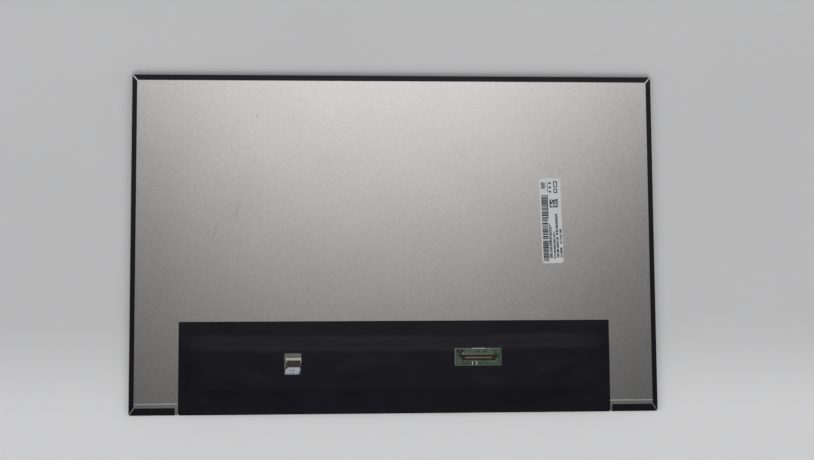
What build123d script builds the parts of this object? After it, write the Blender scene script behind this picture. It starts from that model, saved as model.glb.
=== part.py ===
from build123d import *
import os

# Flat display panel for a 16 inch laptop lid, lying on its screen. Lengths are in millimetres.
# The origin is the middle of the outline on the screen's face. +X runs to the right as seen from the back,
# +Y runs from the cable edge to the far edge, +Z runs from the screen to the back.

# Picture area and the borders round it
active_width = 344.68
active_height = 215.42
side_border = 2.99
top_border = 2.90
bottom_border = 8.14
corner_radius = 1.0

# Thickness of each layer, from the screen to the back
front_polarizer_thickness = 0.15
colour_filter_thickness = 0.25
array_glass_thickness = 0.25
rear_polarizer_thickness = 0.13
rim_tape_thickness = 0.20
frame_lip_thickness = 0.25
prism_sheet_thickness = 0.13
diffuser_thickness = 0.11
light_guide_thickness = 0.50
reflector_thickness = 0.19
plate_thickness = 0.25
edge_tape_thickness = 0.08
label_thickness = 0.08

# Display cell
glass_inset = 0.15
polarizer_inset = 0.95
seal_width = 2.20
array_inset = 0.70

# Frame that carries the cell, and the lips that hold the sheets
active_margin = 0.45
lip_width = 0.95
frame_clearance = 0.05
rim_tape_inset = 0.30
rim_clearance = 0.20

# Optical sheets with locating tabs along the top edge
sheet_clearance = 0.20
sheet_tab_width = 8.0
sheet_tab_height = 0.70
sheet_tab_x = 90.0
guide_overrun = 2.30
sheet_setback = 0.50

# Back plate: folded tray with a raised strip over the lamps
plate_bend = 0.50
flange_gap = 0.10
corner_relief = 1.80
strip_rise = 0.15
strip_slope = 0.50
strip_offset = 0.41
strip_end_inset = 2.00
strip_foot_gap = 0.90

# Lamps along the bottom edge and the flex that carries them
led_count = 48
led_length = 3.00
led_depth = 0.90
led_height = 0.60
led_gap = 0.08
led_window_margin = 0.10
led_window_depth = 0.20
led_back_gap = 1.30
rail_gap = 0.20
flex_thickness = 0.13
flex_tape_thickness = 0.08
flex_end_inset = 3.50
flex_bend = 0.30
flex_notch_clearance = 0.40
flex_shoulder_width = 9.80
flex_shoulder_shift = -0.35
flex_tail_width = 9.30
flex_tail_shift = -1.35
flex_shoulder_gap = 1.00
flex_flare_length = 4.20
flex_rise_run = 3.00
flex_wrap_inset = 0.60
flex_tongue_clearance = 0.15
flex_stiffener_thickness = 0.17

# Edge tapes: width of the lap on the back, width on the front, gap where they meet at a corner
top_tape_lap = 3.78
left_tape_lap = 3.33
right_tape_lap = 3.43
bottom_tape_lap = 4.83
front_tape_lap = 0.70
tape_mitre_shift = 0.60
left_tape_film_gap = 2.00
right_tape_film_gap = 1.20

# Folded edge where the driver films and the cover film wrap round the bottom of the panel
fold_room = 0.93
fold_clearance = 0.05
fold_side_gap = 0.60

# Cover film over the board
cover_film_thickness = 0.10
cover_film_width = 286.4
cover_film_height = 61.10
film_lap = 10.77
film_ramp_run = 6.70
film_side_lap = 3.20
film_side_ramp_run = 3.00
film_offset_x = 1.50
film_clearance = 0.07
film_front_lap = 4.70

# Control board
board_thickness = 0.70
board_tape_thickness = 0.10
board_tape_inset = 4.0
board_bottom_gap = 16.23
board_edge_inset = 0.70
board_corner_cut = 1.50
board_notch_radius = 1.50

# Driver films that join the cell to the board, each with one chip on its inner side
driver_count = 4
driver_pitch = 71.0
driver_width = 36.0
driver_film_thickness = 0.07
driver_bend = 0.40
driver_glass_bond_gap = 1.30
driver_board_bond = 2.00
driver_chip_length = 24.0
driver_chip_depth = 1.30
driver_chip_height = 0.35

# Parts soldered to the board: place along the board from its middle, distance down from its top edge,
# then length, depth and height
chip_places = {
    "timing_controller": (18.0, 16.0, 9.0, 9.0, 0.90),
    "memory_chip": (4.0, 20.0, 4.0, 3.0, 0.60),
    "power_chip": (-14.0, 13.0, 5.0, 5.0, 0.80),
    "backlight_driver_chip": (-43.0, 12.0, 4.0, 4.0, 0.75),
}
inductor_places = [(-26.0, 12.0), (-51.0, 12.0), (86.0, 12.0)]
inductor_side = 4.20
inductor_height = 1.00
inductor_corner = 0.80
capacitor_length = 1.60
capacitor_depth = 0.80
capacitor_height = 0.80
capacitor_pitch = 3.20
capacitor_row_places = [(-128.0, 8.0), (-38.0, 20.0), (80.0, 18.0), (-8.0, 7.0)]
capacitor_row_counts = [12, 10, 14, 8]

# Signal connector: a flat receptacle, open towards the bottom edge, for the display cable's plug
signal_contact_count = 40
signal_contact_pitch = 0.50
signal_contact_width = 0.22
signal_contact_thickness = 0.10
signal_contact_clearance = 0.02
signal_connector_x = 55.0
signal_connector_drop = 6.10
signal_connector_height = 1.05
signal_connector_depth = 3.50
signal_rear_wall = 1.10
signal_floor = 0.22
signal_tongue_length = 1.60
signal_tongue_thickness = 0.30
signal_tongue_level = 0.75
signal_tongue_margin = 0.40
signal_post_gap = 0.25
signal_post_width = 0.80
signal_post_chamfer = 0.30
signal_ear_length = 2.20
signal_ear_depth = 0.50
signal_ear_height = 0.80
signal_ear_run = 1.20
signal_tail_gap = 0.40
signal_tail_length = 1.00
signal_anchor_thickness = 0.15
signal_anchor_foot = 1.60
signal_anchor_depth = 1.50
signal_anchor_height = 0.90
signal_window_side = 2.30
signal_window_shift = -0.35
signal_window_above = 4.70
signal_window_below = 3.70

# Backlight connector: a flex socket with a lever that flips up
zif_contact_count = 16
zif_contact_pitch = 0.50
zif_contact_width = 0.20
zif_contact_thickness = 0.10
zif_contact_clearance = 0.02
zif_end_margin = 1.35
zif_x = -67.7
zif_drop = 7.20
zif_depth = 6.30
zif_floor = 0.20
zif_rear_bar_depth = 1.74
zif_rear_bar_height = 1.00
zif_cheek_width = 0.75
zif_cheek_depth = 1.45
zif_rail_width = 0.45
zif_rail_height = 0.60
zif_flex_gap = 0.15
zif_tail_length = 1.10
zif_contact_stop = 0.90
zif_bump_height = 0.06
zif_bump_run = 0.50
zif_anchor_width = 0.80
zif_anchor_depth = 0.80
zif_anchor_height = 0.75
zif_anchor_setback = 4.90
zif_anchor_clearance = 0.25
zif_window_side = 0.55
zif_window_shift = -0.45
zif_window_above = 3.10
zif_window_below = 4.90

# Lever of the backlight connector
lever_axis_setback = 2.30
lever_axis_level = 0.75
lever_length = 4.00
lever_top = 0.30
lever_bottom = 0.05
lever_side_clearance = 0.10
trunnion_radius = 0.20
trunnion_clearance = 0.05
trunnion_end_gap = 0.15
lever_grip_depth = 0.35
lever_grip_step = 0.12

# Label on the plate, measured from the right edge and from the middle of the height
label_width = 14.30
label_length = 57.50
label_corner = 1.50
label_right_gap = 69.83
label_rise = 14.80
label_turn = 1.50

# Outline
half_width = active_width / 2 + side_border
half_height = (active_height + top_border + bottom_border) / 2
y_active_top = half_height - top_border
y_active_bottom = bottom_border - half_height
x_plate = half_width - edge_tape_thickness
y_plate = half_height - edge_tape_thickness

# Levels of the layers
z_filter = front_polarizer_thickness
z_array = z_filter + colour_filter_thickness
z_cell_back = z_array + array_glass_thickness
z_frame = z_cell_back + rim_tape_thickness
z_upper_prism = z_frame + frame_lip_thickness
z_lower_prism = z_upper_prism + prism_sheet_thickness
z_diffuser = z_lower_prism + prism_sheet_thickness
z_guide = z_diffuser + diffuser_thickness
z_reflector = z_guide + light_guide_thickness
z_plate = z_reflector + reflector_thickness
z_back = z_plate + plate_thickness
z_strip = z_back + strip_rise
z_board = z_back + board_tape_thickness
z_board_top = z_board + board_thickness
z_flex = z_plate + strip_rise - flex_tape_thickness - flex_thickness

# Frame walls and lips
x_lip = active_width / 2 + active_margin
x_wall = x_lip + lip_width
x_frame = x_plate - plate_thickness - frame_clearance
y_lip_top = y_active_top + active_margin
y_wall_top = y_lip_top + lip_width
y_frame_top = y_plate - plate_thickness - frame_clearance
y_lip_bottom = y_active_bottom - active_margin
x_sheet = x_wall - sheet_clearance
y_sheet_top = y_wall_top - sheet_clearance
y_guide_bottom = y_active_bottom - guide_overrun
y_led = y_guide_bottom - led_gap - led_depth
y_flex_bottom = y_led - led_back_gap
y_rail = y_flex_bottom - rail_gap
y_fold_edge = fold_room - half_height

# Raised strip of the plate
x_strip = x_plate - strip_end_inset
y_strip_top = y_active_bottom - strip_offset
y_strip_bottom = y_fold_edge + strip_foot_gap
y_flex_top = y_strip_top - strip_slope - sheet_clearance

# Cover film and the board under it
film_half = cover_film_width / 2
y_film_top = cover_film_height - half_height
y_ramp_foot = y_film_top - film_lap
y_ramp_top = y_ramp_foot - film_ramp_run
board_half = film_half - film_side_lap - film_side_ramp_run
board_left = film_offset_x - board_half
board_right = film_offset_x + board_half
y_board_top = y_ramp_top + board_edge_inset
y_board_bottom = board_bottom_gap - half_height
mound_left = board_left - film_side_ramp_run
mound_right = board_right + film_side_ramp_run
fold_span = (-film_half, film_half)
wrap_span = (fold_side_gap - film_half, film_half - fold_side_gap)
y_film_wall = cover_film_thickness - half_height
lever_height = lever_axis_level + lever_top
part_heights = [place[4] for place in chip_places.values()] + [signal_connector_height, lever_height]
tallest_part = max(part_heights + [inductor_height, capacitor_height])
z_cavity = z_board_top + tallest_part + film_clearance
z_fold = z_board_top + flex_thickness + film_clearance

# Signal connector
y_signal_rear = y_board_top - signal_connector_drop
y_signal_front = y_signal_rear - signal_connector_depth
signal_row_half = (signal_contact_count - 1) * signal_contact_pitch / 2
signal_tongue_half = signal_row_half + signal_tongue_margin
signal_post_inner = signal_tongue_half + signal_post_gap
signal_half = signal_post_inner + signal_post_width
z_tongue = z_board_top + signal_tongue_level

# Backlight connector
y_zif_rear = y_board_top - zif_drop
y_zif_front = y_zif_rear - zif_depth
zif_row_half = (zif_contact_count - 1) * zif_contact_pitch / 2
zif_half = zif_row_half + zif_end_margin
y_zif_bar = y_zif_rear - zif_rear_bar_depth
y_zif_cheek = y_zif_bar - zif_cheek_depth
y_lever_axis = y_zif_rear - lever_axis_setback
z_lever_axis = z_board_top + lever_axis_level
z_zif_flex = z_board_top + zif_floor + zif_bump_height + zif_contact_thickness + zif_contact_clearance
y_zif_anchor = y_zif_rear - zif_anchor_setback
flex_tongue_half = zif_half - zif_anchor_width - flex_tongue_clearance
y_flex_tip = y_lever_axis - lever_top - zif_flex_gap
x_flex_shoulder = zif_x + flex_shoulder_shift
x_flex_tail = zif_x + flex_tail_shift


def block(x_span, y_span, z_span):
    """Rectangular block that fills a (low, high) span on each axis."""
    spans = (x_span, y_span, z_span)
    size = [high - low for low, high in spans]
    middle = [(low + high) / 2 for low, high in spans]
    return Pos(*middle) * Box(*size)


def around(middle, half):
    """Span of a given half width on both sides of a middle."""
    return (middle - half, middle + half)


def polygon(points):
    """Flat face inside a closed line through the points."""
    return make_face(Polyline(*points, close=True))


def prism_along_x(section, x_span):
    """Prism along X of a section drawn with Y to the right and Z up."""
    start = Plane(origin=(x_span[0], 0, 0), x_dir=(0, 1, 0), z_dir=(1, 0, 0))
    return extrude(start * section, amount=x_span[1] - x_span[0])


def prism_along_y(section, y_span):
    """Prism along Y of a section drawn with X to the right and Z up."""
    start = Plane(origin=(0, y_span[1], 0), x_dir=(1, 0, 0), z_dir=(0, -1, 0))
    return extrude(start * section, amount=y_span[1] - y_span[0])


def prism_up(section, z_span):
    """Prism along Z of an outline drawn in plan."""
    return extrude(Pos(0, 0, z_span[0]) * section, amount=z_span[1] - z_span[0])


def offset_path(path, distance):
    """The path moved to its left by a distance, with its corners kept sharp."""
    points = [Vector(*point) for point in path]
    runs = [(end - start).normalized() for start, end in zip(points, points[1:])]
    sides = [Vector(-run.Y, run.X) for run in runs]
    before = sides[:1] + sides
    after = sides + sides[-1:]
    return [p + (m + n) * (distance / (1 + m.dot(n))) for p, m, n in zip(points, before, after)]


def sharp_sheet(path, thickness):
    """Section of a creased sheet that lies on the left of a path."""
    near = [Vector(*point) for point in path]
    return polygon(near + offset_path(path, thickness)[::-1])


def bent_sheet(path, thickness, bend):
    """Section of a sheet on the left of a path, with every corner bent to an inner radius."""
    near = [Vector(*point) for point in path]
    far = offset_path(path, thickness)
    runs = [end - start for start, end in zip(near, near[1:])]
    left_turns = [first.cross(second).Z > 0 for first, second in zip(runs, runs[1:])]
    near_bends = [bend + thickness if left else bend for left in left_turns]
    far_bends = [bend if left else bend + thickness for left in left_turns]
    sides = FilletPolyline(*near, radius=near_bends).edges()
    sides += FilletPolyline(*far, radius=far_bends).edges()
    return make_face(sides + [Line(near[0], far[0]), Line(near[-1], far[-1])])


def glass_sheet(y_bottom, z_low, thickness):
    """One glass of the display cell, down to a given bottom edge."""
    x_glass = x_plate - glass_inset
    return block((-x_glass, x_glass), (y_bottom, y_plate - glass_inset), (z_low, z_low + thickness))


def make_front_polarizer():
    """Polarizer on the screen's face, inside the edge of the glass."""
    x_edge = x_plate - glass_inset - polarizer_inset
    y_low = y_active_bottom - seal_width + polarizer_inset
    y_high = y_plate - glass_inset - polarizer_inset
    return block((-x_edge, x_edge), (y_low, y_high), (0, z_filter))


def make_colour_filter_glass():
    """Front glass of the cell, shorter at the bottom so that the bonding ledge is open."""
    return glass_sheet(y_active_bottom - seal_width, z_filter, colour_filter_thickness)


def make_array_glass():
    """Rear glass of the cell, with the bonding ledge along its bottom edge."""
    return glass_sheet(y_fold_edge + array_inset, z_array, array_glass_thickness)


def make_rear_polarizer():
    """Polarizer behind the cell, inside the rim tape."""
    x_edge = x_lip - rim_clearance
    y_span = (y_lip_bottom + rim_clearance, y_lip_top - rim_clearance)
    return block((-x_edge, x_edge), y_span, (z_cell_back, z_cell_back + rear_polarizer_thickness))


def make_rim_tape():
    """Ring of tape between the cell and the frame."""
    x_edge = x_frame - rim_tape_inset
    y_span = (y_fold_edge + array_inset + rim_tape_inset, y_frame_top - rim_tape_inset)
    ring = block((-x_edge, x_edge), y_span, (z_cell_back, z_frame))
    return ring - block((-x_lip, x_lip), (y_lip_bottom, y_lip_top), (z_cell_back, z_frame))


def tab_blocks(grow, z_span):
    """The locating tabs of the sheets, or with a clearance the pockets that take them."""
    half = sheet_tab_width / 2 + grow
    y_span = (y_sheet_top - sheet_tab_height, y_sheet_top + sheet_tab_height + grow)
    return [block(around(side * sheet_tab_x, half), y_span, z_span) for side in (-1, 1)]


def make_mould_frame():
    """Moulded frame: walls round the sheets, a lip in front of them and a rail behind the lamps."""
    z_span = (z_frame, z_plate)
    frame = block((-x_frame, x_frame), (-y_frame_top, y_frame_top), z_span)
    frame = fillet(frame.edges().filter_by(Axis.Z), corner_radius - frame_clearance)
    frame = chamfer(frame.faces().sort_by(Axis.Z)[-1].edges(), plate_bend)
    frame -= block((-x_wall, x_wall), (y_rail, y_wall_top), (z_upper_prism, z_plate))
    frame -= block((-x_lip, x_lip), (y_lip_bottom, y_lip_top), (z_frame, z_upper_prism))
    frame -= tab_blocks(sheet_clearance, (z_upper_prism, z_plate))
    frame -= block(fold_span, (-half_height, y_fold_edge), z_span)
    tail = around(x_flex_tail, flex_tail_width / 2 + flex_notch_clearance)
    return frame - block(tail, (-half_height, y_rail), (z_flex - sheet_clearance, z_plate))


def optical_sheet(y_bottom, z_low, thickness):
    """Sheet that fills the frame, with its locating tabs."""
    z_span = (z_low, z_low + thickness)
    sheet = block((-x_sheet, x_sheet), (y_bottom, y_sheet_top), z_span)
    return sheet + tab_blocks(0, z_span)


def strip_pad(z_foot):
    """Raised strip of the plate, with sloped sides, standing on a given level."""
    x_size = 2 * x_strip
    y_size = y_strip_top - y_strip_bottom
    middle = (y_strip_top + y_strip_bottom) / 2
    foot = Pos(0, middle, z_foot) * Rectangle(x_size, y_size)
    shrink = 2 * strip_slope
    top = Pos(0, middle, z_foot + strip_rise) * Rectangle(x_size - shrink, y_size - shrink)
    return loft([foot, top])


def module_envelope(grow):
    """Outer form of the closed module, grown on every side: a tray with bent edges and its raised strip."""
    x_edge = x_plate + grow
    y_edge = y_plate + grow
    body = block((-x_edge, x_edge), (-y_edge, y_edge), (z_filter - grow, z_back + grow))
    body = fillet(body.edges().filter_by(Axis.Z), corner_radius + grow)
    body = fillet(body.faces().sort_by(Axis.Z)[-1].edges(), plate_bend + grow)
    return body + strip_pad(z_back + grow)


def make_rear_plate():
    """Folded metal tray: flanges on every side, open at the corners and along the folded bottom edge."""
    tray = module_envelope(0) - module_envelope(-plate_thickness)
    z_flange = z_frame + flange_gap
    tray -= block((-half_width, half_width), (-half_height, half_height), (0, z_flange))
    tray -= block(fold_span, (-half_height, y_fold_edge), (0, z_strip))
    tail = around(x_flex_tail, flex_tail_width / 2 + flex_notch_clearance)
    tray -= block(tail, (-half_height, y_strip_bottom + strip_slope), (0, z_strip))
    for x_side in (-1, 1):
        for y_side in (-1, 1):
            middle = Pos(x_side * x_plate, y_side * y_plate, (z_flange + z_back - plate_bend) / 2)
            tray -= middle * Box(2 * corner_relief, 2 * corner_relief, z_back - plate_bend - z_flange)
    return tray


def edge_tapes():
    """The five tapes: back lap, side and front lap, cut apart by a mitre at each corner."""
    skin = module_envelope(edge_tape_thickness) - module_envelope(0)
    x_inner = half_width - front_tape_lap
    y_inner = half_height - front_tape_lap
    skin -= block((-x_inner, x_inner), (-y_inner, y_inner), (0, z_filter))
    x_out = half_width + corner_radius
    y_out = half_height + corner_radius
    x_left = left_tape_lap - half_width
    x_right = half_width - right_tape_lap
    y_top = half_height - top_tape_lap
    y_bottom = bottom_tape_lap - half_height
    x_corner = half_width - tape_mitre_shift
    y_corner = half_height - tape_mitre_shift
    shift = tape_mitre_shift
    left_end = -film_half - left_tape_film_gap
    right_end = film_half + right_tape_film_gap
    outlines = {
        "top_edge_tape": [(-x_corner, y_out), (x_corner, y_out), (x_corner, half_height),
                          (x_right - shift, y_top), (x_left + shift, y_top), (-x_corner, half_height)],
        "left_edge_tape": [(-x_out, y_corner), (-half_width, y_corner), (x_left, y_top - shift),
                           (x_left, y_bottom + shift), (-half_width, -y_corner), (-x_out, -y_corner)],
        "right_edge_tape": [(x_out, y_corner), (half_width, y_corner), (x_right, y_top - shift),
                            (x_right, y_bottom + shift), (half_width, -y_corner), (x_out, -y_corner)],
        "bottom_left_edge_tape": [(-x_corner, -y_out), (-x_corner, -half_height),
                                  (x_left + shift, y_bottom), (left_end, y_bottom), (left_end, -y_out)],
        "bottom_right_edge_tape": [(x_corner, -y_out), (x_corner, -half_height),
                                   (x_right - shift, y_bottom), (right_end, y_bottom), (right_end, -y_out)],
    }
    tapes = {}
    for name, outline in outlines.items():
        z_low = z_array if name.startswith("bottom") else 0
        tapes[name] = skin & prism_up(polygon(outline), (z_low, z_strip + edge_tape_thickness))
    return tapes


def make_backlight_leds():
    """Row of side-firing lamps, each with the window that faces the light guide."""
    flex_half = x_wall - flex_end_inset
    pitch = (2 * flex_half - led_length) / (led_count - 1)
    y_face = y_led + led_depth
    body = block(around(0, led_length / 2), (y_led, y_face), (z_flex - led_height, z_flex))
    window_half = led_length / 2 - led_window_margin
    window_z = (z_flex - led_height + led_window_margin, z_flex - led_window_margin)
    body -= block(around(0, window_half), (y_face - led_window_depth, y_face), window_z)
    first = led_length / 2 - flex_half
    return Compound([solid for i in range(led_count) for solid in (Pos(first + i * pitch) * body).solids()])


def make_led_flex():
    """Flex strip under the raised strip of the plate, and its tail up to the backlight connector."""
    flex_half = x_wall - flex_end_inset
    strip = block((-flex_half, flex_half), (y_flex_bottom, y_flex_top), (z_flex, z_flex + flex_thickness))
    y_wrap = y_fold_edge + flex_wrap_inset + flex_thickness
    z_under = z_flex + flex_thickness
    y_shoulder = y_zif_front - flex_shoulder_gap
    y_flare = y_shoulder - flex_flare_length
    path = [(y_flex_bottom, z_under), (y_wrap, z_under), (y_wrap, z_board_top),
            (y_flare - flex_rise_run, z_board_top), (y_flare, z_zif_flex), (y_flex_tip, z_zif_flex)]
    tail = prism_along_x(bent_sheet(path, flex_thickness, flex_bend), around(zif_x, flex_tail_width))
    half_shoulder = flex_shoulder_width / 2
    half_tail = flex_tail_width / 2
    outline = []
    for side in (-1, 1):
        tongue_x = zif_x + side * flex_tongue_half
        tail_x = x_flex_tail + side * half_tail
        edge = [(tongue_x, y_flex_tip), (tongue_x, y_shoulder), (x_flex_shoulder + side * half_shoulder, y_shoulder),
                (tail_x, y_flare), (tail_x, -half_height)]
        outline += edge[::side]
    z_stiffener = z_zif_flex + flex_thickness
    stiffener_z = (z_stiffener, z_stiffener + flex_stiffener_thickness)
    stiffener = block(around(zif_x, flex_tongue_half), (y_shoulder, y_flex_tip), stiffener_z)
    return strip + (tail & prism_up(polygon(outline), (0, z_cavity))) + stiffener


def make_led_flex_tape():
    """Tape that fixes the lamps' flex to the plate."""
    flex_half = x_wall - flex_end_inset
    z_low = z_flex + flex_thickness
    return block((-flex_half, flex_half), (y_flex_bottom, y_flex_top), (z_low, z_low + flex_tape_thickness))


def make_control_board():
    """Circuit board with cut corners and a locating notch in each end."""
    width = board_right - board_left
    height = y_board_top - y_board_bottom
    outline = Rectangle(width, height)
    outline = chamfer(outline.vertices(), board_corner_cut)
    for side in (-1, 1):
        outline -= Pos(side * width / 2, 0) * Circle(board_notch_radius)
    middle = Pos(film_offset_x, (y_board_top + y_board_bottom) / 2)
    return prism_up(middle * outline, (z_board, z_board_top))


def make_board_tape():
    """Adhesive between the plate and the board."""
    x_span = (board_left + board_tape_inset, board_right - board_tape_inset)
    y_span = (y_board_bottom + board_tape_inset, y_board_top - board_tape_inset)
    return block(x_span, y_span, (z_back, z_board))


def driver_middles():
    """Places along the bottom edge of the driver films."""
    first = film_offset_x - (driver_count - 1) * driver_pitch / 2
    return [first + i * driver_pitch for i in range(driver_count)]


def make_driver_film(middle):
    """Film from the glass ledge, round the bottom edge, to the board."""
    y_fold = y_film_wall + fold_clearance + driver_film_thickness
    y_start = y_active_bottom - seal_width - driver_glass_bond_gap
    path = [(y_start, z_array), (y_fold, z_array), (y_fold, z_board_top),
            (y_board_bottom + driver_board_bond, z_board_top)]
    section = bent_sheet(path, driver_film_thickness, driver_bend)
    return prism_along_x(section, around(middle, driver_width / 2))


def make_driver_chip(middle):
    """Chip on the inner side of a driver film, between the fold and the board."""
    y_middle = (y_fold_edge + y_board_bottom) / 2
    z_span = (z_board_top - driver_chip_height, z_board_top)
    y_span = around(y_middle, driver_chip_depth / 2)
    return block(around(middle, driver_chip_length / 2), y_span, z_span)


def on_board(along, down, length, depth, height):
    """Block soldered to the board at a place along it and down from its top edge."""
    x_span = around(film_offset_x + along, length / 2)
    y_span = around(y_board_top - down, depth / 2)
    return block(x_span, y_span, (z_board_top, z_board_top + height))


def make_inductor(along, down):
    """Power inductor with rounded corners."""
    body = on_board(along, down, inductor_side, inductor_side, inductor_height)
    return fillet(body.edges().filter_by(Axis.Z), inductor_corner)


def make_chip_capacitors():
    """Rows of small capacitors."""
    size = (capacitor_length, capacitor_depth, capacitor_height)
    solids = []
    for (along, down), count in zip(capacitor_row_places, capacitor_row_counts):
        for i in range(count):
            solids += on_board(along + i * capacitor_pitch, down, *size).solids()
    return Compound(solids)


def signal_contact():
    """One contact of the signal connector: solder tail, riser, and beam through the wall to the tongue."""
    t = signal_contact_thickness
    y_riser = y_signal_rear + signal_tail_gap
    y_end = y_signal_rear - signal_rear_wall - signal_tongue_length + signal_contact_width
    path = [(y_riser + signal_tail_length, z_board_top), (y_riser, z_board_top), (y_riser, z_tongue),
            (y_end, z_tongue)]
    return prism_along_x(sharp_sheet(path, -t), around(0, signal_contact_width / 2))


def row_of(solid, count, pitch, middle):
    """Copies of a solid in a row along X about a middle."""
    first = middle - (count - 1) * pitch / 2
    return [copy for i in range(count) for copy in (Pos(first + i * pitch) * solid).solids()]


def make_signal_connector_contacts():
    """Row of contacts in the signal connector."""
    return Compound(row_of(signal_contact(), signal_contact_count, signal_contact_pitch, signal_connector_x))


def make_signal_connector_housing():
    """Moulded receptacle: floor, rear wall with a hole for each contact, tongue, end posts and ears."""
    x = signal_connector_x
    z_top = z_board_top + signal_connector_height
    y_wall = y_signal_rear - signal_rear_wall
    full = around(x, signal_half)
    housing = block(full, (y_signal_front, y_signal_rear), (z_board_top, z_board_top + signal_floor))
    housing += block(full, (y_wall, y_signal_rear), (z_board_top, z_top))
    tongue_z = (z_tongue - signal_tongue_thickness, z_tongue)
    housing += block(around(x, signal_tongue_half), (y_wall - signal_tongue_length, y_wall), tongue_z)
    for side in (-1, 1):
        post_x = around(x + side * (signal_half - signal_post_width / 2), signal_post_width / 2)
        post = block(post_x, (y_signal_front, y_signal_rear), (z_board_top, z_top))
        front_top = post.edges().filter_by(Axis.X).sort_by(lambda edge: edge.center().Z - edge.center().Y)[-1]
        housing += chamfer(front_top, signal_post_chamfer)
        inner = x + side * signal_half
        outer = inner + side * signal_ear_length
        y_ear = y_signal_rear - signal_ear_depth
        ear = [(inner, y_signal_rear), (outer, y_signal_rear), (outer, y_ear), (inner, y_ear - signal_ear_run)]
        housing += prism_up(polygon(ear), (z_board_top, z_board_top + signal_ear_height))
    hole_half = signal_contact_width / 2 + signal_contact_clearance
    hole_z = (z_tongue, z_tongue + signal_contact_thickness + signal_contact_clearance)
    hole = block(around(0, hole_half), (y_wall, y_signal_rear), hole_z)
    return housing - row_of(hole, signal_contact_count, signal_contact_pitch, x)


def make_signal_connector_anchors():
    """Bent metal tabs that solder the receptacle's ends to the board."""
    anchors = []
    for side in (-1, 1):
        near = signal_connector_x + side * signal_half
        far = near + side * (signal_anchor_thickness + signal_anchor_foot)
        z_high = z_board_top + signal_anchor_height
        path = [(near, z_high), (near, z_board_top), (far, z_board_top)]
        section = sharp_sheet(path, side * signal_anchor_thickness)
        anchors += prism_along_y(section, (y_signal_front, y_signal_front + signal_anchor_depth)).solids()
    return Compound(anchors)


def zif_contact():
    """One contact of the backlight connector: solder tail, step under the bar, and sprung beam with a bump."""
    t = zif_contact_thickness
    z_beam = z_board_top + zif_floor
    y_stop = y_zif_front + zif_contact_stop
    y_bump = y_stop + 2 * zif_bump_run
    path = [(y_stop, z_beam), (y_stop + zif_bump_run, z_beam + zif_bump_height), (y_bump, z_beam),
            (y_zif_bar, z_beam), (y_zif_rear, z_board_top), (y_zif_rear + zif_tail_length, z_board_top)]
    return prism_along_x(sharp_sheet(path, t), around(0, zif_contact_width / 2))


def make_backlight_connector_contacts():
    """Row of contacts in the backlight connector."""
    return Compound(row_of(zif_contact(), zif_contact_count, zif_contact_pitch, zif_x))


def make_backlight_connector_housing():
    """Moulded flex socket: floor, rear bar with contact slots, bearing cheeks and side rails."""
    z_top = z_board_top + zif_rear_bar_height
    full = around(zif_x, zif_half)
    housing = block(full, (y_zif_front, y_zif_rear), (z_board_top, z_board_top + zif_floor))
    housing += block(full, (y_zif_bar, y_zif_rear), (z_board_top, z_top))
    for side in (-1, 1):
        edge = zif_x + side * zif_half
        cheek_x = around(edge - side * zif_cheek_width / 2, zif_cheek_width / 2)
        housing += block(cheek_x, (y_zif_cheek, y_zif_bar), (z_board_top, z_top))
        rail_x = around(edge - side * zif_rail_width / 2, zif_rail_width / 2)
        housing += block(rail_x, (y_zif_front, y_zif_cheek), (z_board_top, z_board_top + zif_rail_height))
    bearing = trunnion_radius + trunnion_clearance
    slot = prism_along_x(Pos(y_lever_axis, z_lever_axis) * Circle(bearing), full)
    slot += block(full, around(y_lever_axis, bearing), (z_lever_axis, z_top))
    housing -= slot
    anchor_half = zif_anchor_width + zif_contact_clearance
    for side in (-1, 1):
        pocket_x = around(zif_x + side * zif_half, anchor_half)
        pocket_y = around(y_zif_anchor, zif_anchor_depth / 2 + zif_contact_clearance)
        housing -= block(pocket_x, pocket_y, (z_board_top, z_top))
    slot_half = zif_contact_width / 2 + zif_contact_clearance
    slot_z = (z_board_top, z_board_top + zif_floor + zif_contact_thickness + zif_contact_clearance)
    contact_slot = block(around(0, slot_half), (y_zif_bar, y_zif_rear), slot_z)
    return housing - row_of(contact_slot, zif_contact_count, zif_contact_pitch, zif_x)


def make_backlight_connector_anchors():
    """Metal tabs that solder the flex socket's sides to the board."""
    anchors = []
    for side in (-1, 1):
        x_middle = zif_x + side * (zif_half - zif_anchor_width / 2)
        y_span = around(y_zif_anchor, zif_anchor_depth / 2)
        z_span = (z_board_top, z_board_top + zif_anchor_height)
        anchors += block(around(x_middle, zif_anchor_width / 2), y_span, z_span).solids()
    return Compound(anchors)


def make_backlight_connector_lever():
    """Lever that locks the flex: plate with a round heel on its axis, trunnions and a grip along its edge."""
    y_end = y_lever_axis - lever_length
    z_low = z_lever_axis - lever_bottom
    z_high = z_lever_axis + lever_top
    inner_half = zif_half - zif_cheek_width - lever_side_clearance
    heel = Pos(y_lever_axis, z_lever_axis) * Circle(lever_top)
    plate = polygon([(y_lever_axis, z_low), (y_lever_axis, z_high), (y_end, z_high), (y_end, z_low)])
    below = Pos(y_lever_axis, z_low - lever_top) * Rectangle(2 * lever_length, 2 * lever_top)
    lever = prism_along_x((plate + heel) - below, around(zif_x, inner_half))
    outer_half = zif_half - lever_side_clearance
    y_wing = y_zif_cheek - lever_side_clearance
    lever += block(around(zif_x, outer_half), (y_end, y_wing), (z_low, z_high))
    pin = Pos(y_lever_axis, z_lever_axis) * Circle(trunnion_radius)
    lever += prism_along_x(pin, around(zif_x, zif_half - trunnion_end_gap))
    for side in (-1, 1):
        notch_x = around(zif_x + side * zif_half, zif_anchor_width + zif_anchor_clearance)
        notch_y = around(y_zif_anchor, zif_anchor_depth / 2 + zif_anchor_clearance)
        lever -= block(notch_x, notch_y, (z_low, z_high))
    grip_z = (z_high - lever_grip_step, z_high)
    return lever - block(around(zif_x, outer_half), (y_end, y_end + lever_grip_depth), grip_z)


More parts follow.
